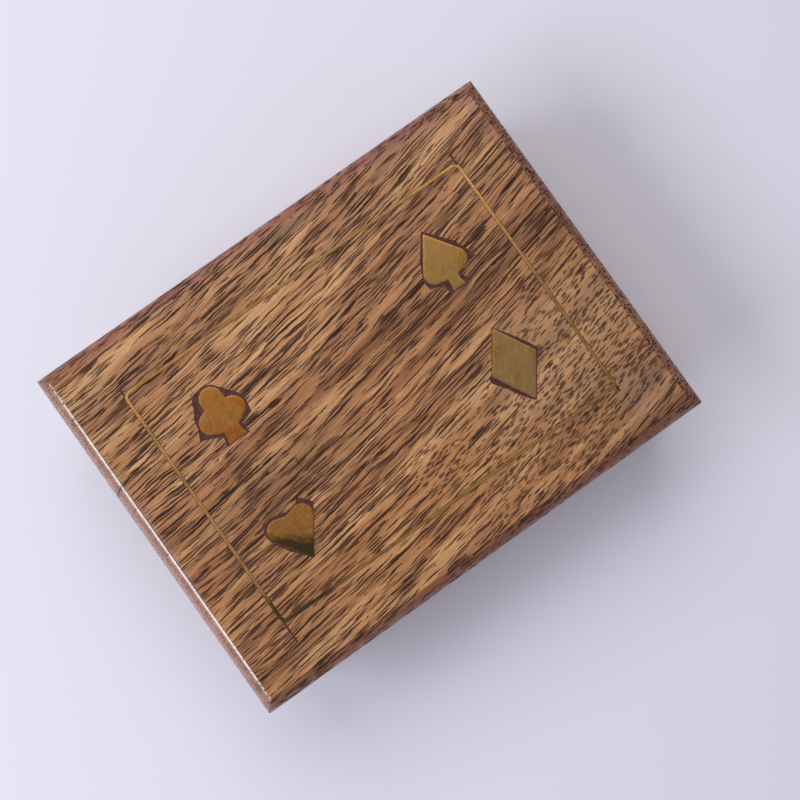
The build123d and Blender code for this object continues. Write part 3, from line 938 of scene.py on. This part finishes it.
def make_patina():
    graph, inside, out = new_group(
        "Patina",
        {
            "Place": ("vector", (0, 0, 0)),
            "Seed": ("number", 0.0),
            "Gold": ("colour", paint(222, 176, 96)),
            "Orange": ("colour", paint(226, 150, 66)),
            "Olive": ("colour", paint(176, 150, 84)),
        },
        {"Color": "colour", "Dull": "number"},
    )
    x, y, _ = graph.split(graph.scaled(inside["Place"], 1 / MM))
    here = graph.join(x, y, inside["Seed"])
    slow = graph.noise(here, scale=0.16, detail=2.0, roughness=0.55)
    cloud = graph.noise(here, scale=0.55, detail=3.0, roughness=0.6, distortion=0.4)
    warm = graph.mix(graph.fade(slow, 0.48, 0.64), inside["Gold"], inside["Orange"])
    dull = graph.fade(cloud, 0.46, 0.72)
    graph.put(out["Color"], graph.mix(dull, warm, inside["Olive"]))
    graph.put(out["Dull"], dull)


make_brush_marks()
make_patina()

# %% [markdown]
# ## The brass as a material
# The patina gives the metal's colour and the brush marks make it lighter and darker in
# fine streaks. The same marks raise a slight bump, and dull places are also rougher. A
# smear of resin clings to the very rim, found by the distance that each point has stored.
# A darker, rougher patch can be laid over all this, as a mask that a small function draws.
# On the heart and at the border's front end and back run it is painted dark reflection, and
# elsewhere on the border it is random dull stretches.

# %% Brass material
# the colour of the painted dark reflection on the heart and the border, and of the border's random
# dull stretches
STAIN_AND_DARK_REFLECTION = paint(40, 42, 28)
RESIN_PAINT = paint(58, 30, 26)


def brass_material(name, brush, seed, colours, stain_and_reflection=None, brushed=1.0):
    """brush is the direction of the brush marks, in degrees from X, and brushed their
    strength."""
    material, graph, place = new_material(name)
    marks = graph.group("Brush Marks", {"Place": place, "Turn": math.radians(brush)})
    gold, orange, olive = colours
    patina = graph.group(
        "Patina", {"Place": place, "Seed": seed, "Gold": gold, "Orange": orange, "Olive": olive}
    )
    fine = graph.fade(marks["Fine"], 0.3, 0.7, 1 - 0.12 * brushed, 1 + 0.10 * brushed)
    coarse = graph.fade(marks["Coarse"], 0.3, 0.7, 1 - 0.10 * brushed, 1 + 0.08 * brushed)
    colour = graph.scaled(patina["Color"], graph.math("MULTIPLY", fine, coarse))
    rim = graph.node("ShaderNodeAttribute", {"attribute_name": "rim"}).outputs["Fac"]
    uneven = graph.noise(graph.scaled(place, 1 / MM), scale=1.3, detail=2.0)
    beyond = graph.math("SUBTRACT", rim, graph.math("MULTIPLY", uneven, 0.08))
    smear = graph.fade(beyond, 0.02, -0.02)
    colour = graph.mix(graph.math("MULTIPLY", smear, 0.8), colour, RESIN_PAINT)
    dull = patina["Dull"]
    # a darker, rougher patch: painted dark reflection, and on the border also random dull stretches
    if stain_and_reflection:
        darkened = stain_and_reflection(graph, place)
        colour = graph.mix(darkened, colour, STAIN_AND_DARK_REFLECTION)
        dull = graph.math("MAXIMUM", dull, darkened)
    scored = graph.fade(marks["Fine"], 0.3, 0.7, 0.0, 0.08)
    long_marks = graph.math("MULTIPLY", marks["Coarse"], 0.08)
    shader = {
        "Base Color": colour,
        "Metallic": graph.fade(smear, 0.2, 0.8, 1.0, 0.2),
        "Roughness": graph.math("ADD", graph.fade(dull, 0.0, 1.0, 0.26, 0.42), scored),
    }
    finish_material(graph, shader, graph.math("MULTIPLY_ADD", marks["Fine"], 0.05, long_marks))
    return material


def heart_dark_reflection(graph, place):
    """The heart's lower left side and its tip are painted green and black, as dark reflection."""
    edge = patch(graph, place, (-36.4, -19.6), (8.6, 4.4), -55, 0.8)
    tip = patch(graph, place, (-33.4, -22.4), (5.8, 5.0), -35, 0.8)
    return graph.math("MULTIPLY", graph.math("MAXIMUM", edge, tip), 0.93)


# the colour of the painted dark reflection and of the random dull stretches
print("the dark stain in linear light:", [round(v, 3) for v in STAIN_AND_DARK_REFLECTION])

# %% [markdown]
# ## The four suits
# Each suit takes its outline from the frame, and its own brush direction and colours, since
# no two were rubbed the same way. Sanding has rounded the rims by a hair and left the tops
# a little wavy, which breaks up the reflection of the room.

# %% Brass suits
SUIT_STEP = 0.34 * MM
SUIT_WAVE = 0.014 * MM
SUIT_WAVE_LENGTH = 3.5 * MM
SUIT_ROUNDING = 0.16 * MM
SUIT_RIM_DROP = 0.03 * MM
BRUSH = {"club": 70, "spade": 55, "heart": 20, "diamond": 55}
BRUSHED = {"club": 0.6, "spade": 0.5, "heart": 1.0, "diamond": 0.5}
SUIT_COLOURS = {
    "club": (paint(174, 117, 58), paint(170, 98, 40), paint(136, 104, 60)),
    "spade": (paint(168, 128, 74), paint(158, 116, 62), paint(136, 106, 64)),
    "heart": (paint(182, 126, 66), paint(182, 104, 38), paint(146, 108, 62)),
    "diamond": (paint(176, 140, 88), paint(168, 122, 66), paint(150, 121, 78)),
}


def filed_top(seed):
    """Rims rounded by the sanding, and a top that isn't quite flat."""

    def top_at(points, rim):
        uneven = SUIT_WAVE * (1 + waves(points, SUIT_WAVE_LENGTH, seed))
        return uneven + SUIT_RIM_DROP * rounded(rim, SUIT_ROUNDING)

    return top_at


for number, suit in enumerate(BRUSH):
    piece = shaped_slab("brass_" + suit, "inlay_" + suit, SUIT_STEP, filed_top(number))
    stain_and_reflection = heart_dark_reflection if suit == "heart" else None
    colours, brushed = SUIT_COLOURS[suit], BRUSHED[suit]
    brass = brass_material("brass_" + suit, BRUSH[suit], 3.0 * number, colours, stain_and_reflection, brushed)
    piece.data.materials.append(brass)

# %% [markdown]
# ## The border
# The border is one wire, bent at four corners and hammered into a groove. It gets the same
# brass and the same slab, with a smaller step because it is so thin. It lies a little lower
# than the wood. Its front left end is painted nearly black and its back run darker, both as
# dark reflection, and short stretches of it are dull at random.

# %% Border wire
WIRE_COLOURS = (paint(194, 148, 90), paint(182, 126, 65), paint(156, 123, 75))
WIRE_STEP = 0.24 * MM
WIRE_SUNK = 0.02 * MM
WIRE_RIM_DROP = 0.006 * MM
WIRE_ROUNDING = 0.12 * MM


def wire_stain_and_dark_reflection(graph, place):
    """The wire's front left end and back run are painted dark reflection; short stretches are dull
    at random.
    """
    along_front = patch(graph, place, (-41, -32.4), (13, 3.0), 0, 0.5)
    corner = patch(graph, place, (-48, -30), (3.0, 6.0), 0, 0.5)
    spots = graph.fade(graph.noise(graph.scaled(place, 1 / MM), scale=0.12, detail=3.0), 0.56, 0.68)
    along_back = patch(graph, place, (4, 32.85), (50, 3.0), 0, 0.3)
    worst = graph.math("MAXIMUM", along_front, corner)
    worst = graph.math("MAXIMUM", worst, graph.math("MULTIPLY", along_back, 0.45))
    worst = graph.math("MAXIMUM", worst, graph.math("MULTIPLY", spots, 0.4))
    return graph.math("MULTIPLY", worst, 0.9)


wire = shaped_slab(
    "brass_border", "border_wire", WIRE_STEP,
    lambda points, rim: WIRE_SUNK + WIRE_RIM_DROP * rounded(rim, WIRE_ROUNDING),
)
wire.data.materials.append(brass_material("brass_border", 0, 17.0, WIRE_COLOURS, wire_stain_and_dark_reflection))

# %% [markdown]
# ## Resin
# The pockets were cut by hand, wider than the brass, and topped up with dark red resin and
# wood dust. It shrinks as it sets, so its surface hangs a little between wood and brass,
# and air bubbles leave small pits. The same slab function makes it, with a shallow hollow
# in its top.

# %% Resin material and fills
RESIN_STEP = 0.3 * MM
RESIN_SUNK = 0.02 * MM
RESIN_HOLLOW = 0.05 * MM
HOLLOW_REACH = 0.8 * MM
RESIN_WAVE = 0.02 * MM
RESIN_WAVE_LENGTH = 1.2 * MM


def resin_material():
    material, graph, place = new_material("pocket_resin")
    in_mm = graph.scaled(place, 1 / MM)
    cloud = graph.noise(in_mm, scale=1.1, detail=3.0, roughness=0.7)
    dust = graph.noise(in_mm, scale=6.0, detail=2.0, roughness=0.7)
    bubble, tint = graph.cells(in_mm, 1.4)
    some = graph.math("LESS_THAN", graph.split(tint)[0], 0.3)
    pits = graph.math("MULTIPLY", graph.fade(bubble, 0.2, 0.1), some)
    colour = graph.mix(graph.fade(cloud, 0.35, 0.65), paint(60, 29, 27), paint(88, 46, 40))
    colour = graph.mix(graph.fade(dust, 0.6, 0.75, 0.0, 0.4), colour, paint(112, 70, 58))
    colour = graph.mix(pits, colour, paint(34, 16, 14))
    sunk = graph.math("MULTIPLY", pits, 1.5)
    height = graph.math("SUBTRACT", graph.math("MULTIPLY", dust, 0.25), sunk)
    shader = {
        "Base Color": colour,
        "Roughness": graph.fade(cloud, 0.3, 0.7, 0.4, 0.55),
        "Specular IOR Level": 0.2,
    }
    finish_material(graph, shader, height)
    return material


def shrunk_top(seed):
    """A top that sinks away from the rim, quickly at first, and is a little wavy."""

    def top_at(points, rim):
        hollow = RESIN_HOLLOW * np.clip(rim / HOLLOW_REACH, 0, 1) ** 0.6
        return RESIN_SUNK + hollow + RESIN_WAVE * waves(points, RESIN_WAVE_LENGTH, seed)

    return top_at


resin = resin_material()
for number, suit in enumerate(BRUSH):
    fill = shaped_slab("resin_" + suit, "fill_" + suit, RESIN_STEP, shrunk_top(10 + number))
    fill.data.materials.append(resin)
dress("groove_fill", resin)

# %% [markdown]
# ## Steel pins
# Thin steel pins hold the boards. Their sunk heads show under the base, on the sides near
# the back, and on the drawer's sides when it is out. They are turned steel with a little
# brown where the varnish missed them.

# %% Pin material


def pin_material():
    material, graph, place = new_material("pin_steel")
    in_mm = graph.scaled(place, 1 / MM)
    cloud = graph.noise(in_mm, scale=1.6, detail=3.0, roughness=0.65)
    grain = graph.noise(in_mm, scale=9.0, detail=2.0)
    rust = graph.fade(cloud, 0.52, 0.7)
    colour = graph.mix(rust, paint(150, 148, 144), paint(104, 70, 48))
    shader = {
        "Base Color": colour,
        "Metallic": graph.fade(rust, 0.0, 1.0, 1.0, 0.3),
        "Roughness": graph.fade(rust, 0.0, 1.0, 0.38, 0.75),
    }
    finish_material(graph, shader, graph.math("MULTIPLY", graph.math("ADD", grain, rust), 0.15))
    return material


steel = pin_material()
PINS = ("base_pins", "corner_pins", "drawer_pins")
for node in PINS:
    dress(node, steel)
print(len(PINS), "sets of pins are steel")

# %% [markdown]
# ## The felt
# The drawer's floor is lined with felt, cut to size and glued down. Felt isn't woven: it
# is a mat of hair, so its surface is soft, slightly uneven, and fuzzy at the cut edge. A
# cloth simulation has nothing to do on a sheet that is glued flat. It is modelled as a
# fine net with a rounded, slightly wavering edge, low waves from the glue, and the shallow
# mark that the deck has pressed into it.

# %% Felt sheet
FELT_STEP = 0.9 * MM
FELT_EDGE = 0.7 * MM
FELT_LOW, FELT_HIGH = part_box("drawer_lining")
FELT_SIZE = ((FELT_HIGH.x - FELT_LOW.x), (FELT_HIGH.y - FELT_LOW.y))
DECK_HALF = (44.5 * MM, 32.0 * MM)
SETTLED = 0.12 * MM
DECK_SHOULDER = 1.5 * MM
FELT_ROOM = 0.1 * MM
UNDER_GAP = 0.02 * MM
GLUE_WAVE, GLUE_WAVE_LENGTH = 0.05 * MM, 9 * MM
FUZZ_WAVE, FUZZ_WAVE_LENGTH = 0.04 * MM, 1.3 * MM
CUT_WAVE, CUT_WAVE_LENGTH = 0.18 * MM, 2.4 * MM


def ripple(x, y, length, seed):
    """A smooth field over the sheet, from about -1 to 1, with bumps of this length."""
    return noise.noise((x / length, y / length, seed))


def felt_height(x, y):
    """How high the felt's top lies over the floor board."""
    from_edge = min(x - FELT_LOW.x, FELT_HIGH.x - x, y - FELT_LOW.y, FELT_HIGH.y - y)
    thick = FELT_HIGH.z - FELT_LOW.z
    middle_y = (FELT_LOW.y + FELT_HIGH.y) / 2
    in_deck = min(DECK_HALF[0] - abs(x), DECK_HALF[1] - abs(y - middle_y))
    pressed = SETTLED * min(max(in_deck / DECK_SHOULDER + 0.5, 0), 1)
    glue = GLUE_WAVE * ripple(x, y, GLUE_WAVE_LENGTH, 5.0)
    fuzz = FUZZ_WAVE * ripple(x, y, FUZZ_WAVE_LENGTH, 9.0)
    round_off = 0.55 * thick * (1 - math.sqrt(min(max(from_edge / FELT_EDGE, 0), 1)))
    return thick - FELT_ROOM - pressed - round_off + glue + fuzz


def make_felt():
    """A closed net: the top, an equal underside, and a wall round them."""
    columns = round(FELT_SIZE[0] / FELT_STEP)
    rows = round(FELT_SIZE[1] / FELT_STEP)
    shell = bmesh.new()
    layers = []
    for upper in (True, False):
        net = []
        for j in range(rows + 1):
            for i in range(columns + 1):
                x = FELT_LOW.x + FELT_SIZE[0] * i / columns
                y = FELT_LOW.y + FELT_SIZE[1] * j / rows
                z = FELT_LOW.z + (felt_height(x, y) if upper else UNDER_GAP)
                pull = CUT_WAVE * (1 + ripple(x, y, CUT_WAVE_LENGTH, 1.0))
                x -= pull * (i == columns) - pull * (i == 0)
                y -= pull * (j == rows) - pull * (j == 0)
                net.append(shell.verts.new((x, y, z)))
        layers.append(net)
    row = columns + 1
    for j in range(rows):
        for i in range(columns):
            k = j * row + i
            shell.faces.new([layers[0][n] for n in (k, k + 1, k + 1 + row, k + row)])
            shell.faces.new([layers[1][n] for n in (k, k + row, k + 1 + row, k + 1)])
    ring = list(range(row))
    ring += [j * row + columns for j in range(1, rows + 1)]
    ring += [rows * row + i for i in range(columns - 1, -1, -1)]
    ring += [j * row for j in range(rows - 1, 0, -1)]
    for a, b in zip(ring, ring[1:] + ring[:1]):
        shell.faces.new((layers[0][b], layers[0][a], layers[1][a], layers[1][b]))
    bmesh.ops.recalc_face_normals(shell, faces=shell.faces)
    for face in shell.faces:
        face.smooth = True
    mesh = bpy.data.meshes.new("felt_lining")
    shell.to_mesh(mesh)
    shell.free()
    felt = bpy.data.objects.new("felt_lining", mesh)
    bpy.context.scene.collection.objects.link(felt)
    return felt


def felt_material():
    material, graph, place = new_material("red_felt")
    in_mm = graph.scaled(place, 1 / MM)
    hair = graph.noise(in_mm, scale=3.2, detail=4.0, roughness=0.75, distortion=1.2)
    cloud = graph.noise(in_mm, scale=0.14, detail=2.0)
    colour = graph.mix(graph.fade(hair, 0.35, 0.65), paint(92, 14, 22), paint(140, 30, 38))
    colour = graph.mix(graph.fade(cloud, 0.45, 0.7, 0.0, 0.35), colour, paint(112, 34, 38))
    tangle = graph.noise(in_mm, scale=1.1, detail=5.0, roughness=0.8, distortion=2.5)
    lint = graph.fade(tangle, 0.71, 0.75)
    colour = graph.mix(graph.math("MULTIPLY", lint, 0.5), colour, paint(190, 150, 145))
    shader = {
        "Base Color": colour, "Roughness": 0.95, "Specular IOR Level": 0.2,
        "Sheen Weight": 0.35, "Sheen Roughness": 0.5, "Sheen Tint": paint(200, 90, 90),
    }
    finish_material(graph, shader, graph.math("MULTIPLY", hair, 2.5))
    return material


felt = make_felt()
felt.data.materials.append(felt_material())
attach(felt, "drawer")
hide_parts("drawer_lining")
print("felt:", [round(side / MM, 1) for side in FELT_SIZE], "mm,", len(felt.data.polygons), "faces")

# %% [markdown]
# ## Floor and light
# The table is a plain pale board. Light comes from two soft windows and from the room. The
# first window is on the left and draws the bright line along the lid's left edge. The
# second is higher up, behind the box. The room is a little darker straight overhead, which
# is what the polished brass reflects.

# %% Table, lamps and room
FLOOR_PAINT = paint(222, 221, 236)
TABLE_HALF = 3.0


def make_table():
    mesh = bpy.data.meshes.new("table_top")
    corners = [(x * TABLE_HALF, y * TABLE_HALF, 0) for x, y in ((-1, -1), (1, -1), (1, 1), (-1, 1))]
    mesh.from_pydata(corners, [], [(0, 1, 2, 3)])
    table = bpy.data.objects.new("table_top", mesh)
    bpy.context.scene.collection.objects.link(table)
    material, graph, _ = new_material("table_paint")
    finish_material(graph, {"Base Color": FLOOR_PAINT, "Roughness": 0.8, "Specular IOR Level": 0.1})
    mesh.materials.append(material)


def make_lamp(name, direction, distance, size, power, colour):
    data = bpy.data.lights.new(name, "AREA")
    data.shape = "RECTANGLE"
    data.size = size[0]
    data.size_y = size[1]
    data.energy = power
    data.color = colour
    lamp = bpy.data.objects.new(name, data)
    towards = Vector(direction).normalized()
    lamp.location = towards * distance
    lamp.rotation_mode = "QUATERNION"
    lamp.rotation_quaternion = towards.to_track_quat("Z", "Y")
    bpy.context.scene.collection.objects.link(lamp)
    print(name, "is", distance, "m away and", size[0], "by", size[1], "m large")


def make_room():
    world = bpy.data.worlds.new("soft_room")
    world.use_nodes = True
    world.node_tree.nodes.clear()
    graph = Graph(world.node_tree)
    direction = graph.node("ShaderNodeTexCoord").outputs["Generated"]
    upward = graph.split(direction)["Z"]
    strength = graph.fade(upward, 0.4, 0.95, 0.42, 0.35)
    background = graph.node(
        "ShaderNodeBackground", inputs={"Color": paint(250, 250, 255), "Strength": strength}
    )
    output = graph.node("ShaderNodeOutputWorld")
    graph.tree.links.new(background.outputs[0], output.inputs["Surface"])
    bpy.context.scene.world = world


make_table()
make_lamp(
    "left_window", direction=(-0.67, 0.12, 0.73), distance=0.75, size=(0.52, 0.28),
    power=3.15, colour=(0.90, 0.95, 1.0),
)
make_lamp(
    "back_window", direction=(0.10, 0.54, 0.84), distance=0.8, size=(0.6, 0.5),
    power=2.6, colour=(1.0, 0.94, 0.85),
)
make_room()
bpy.context.scene.view_settings.view_transform = "Standard"
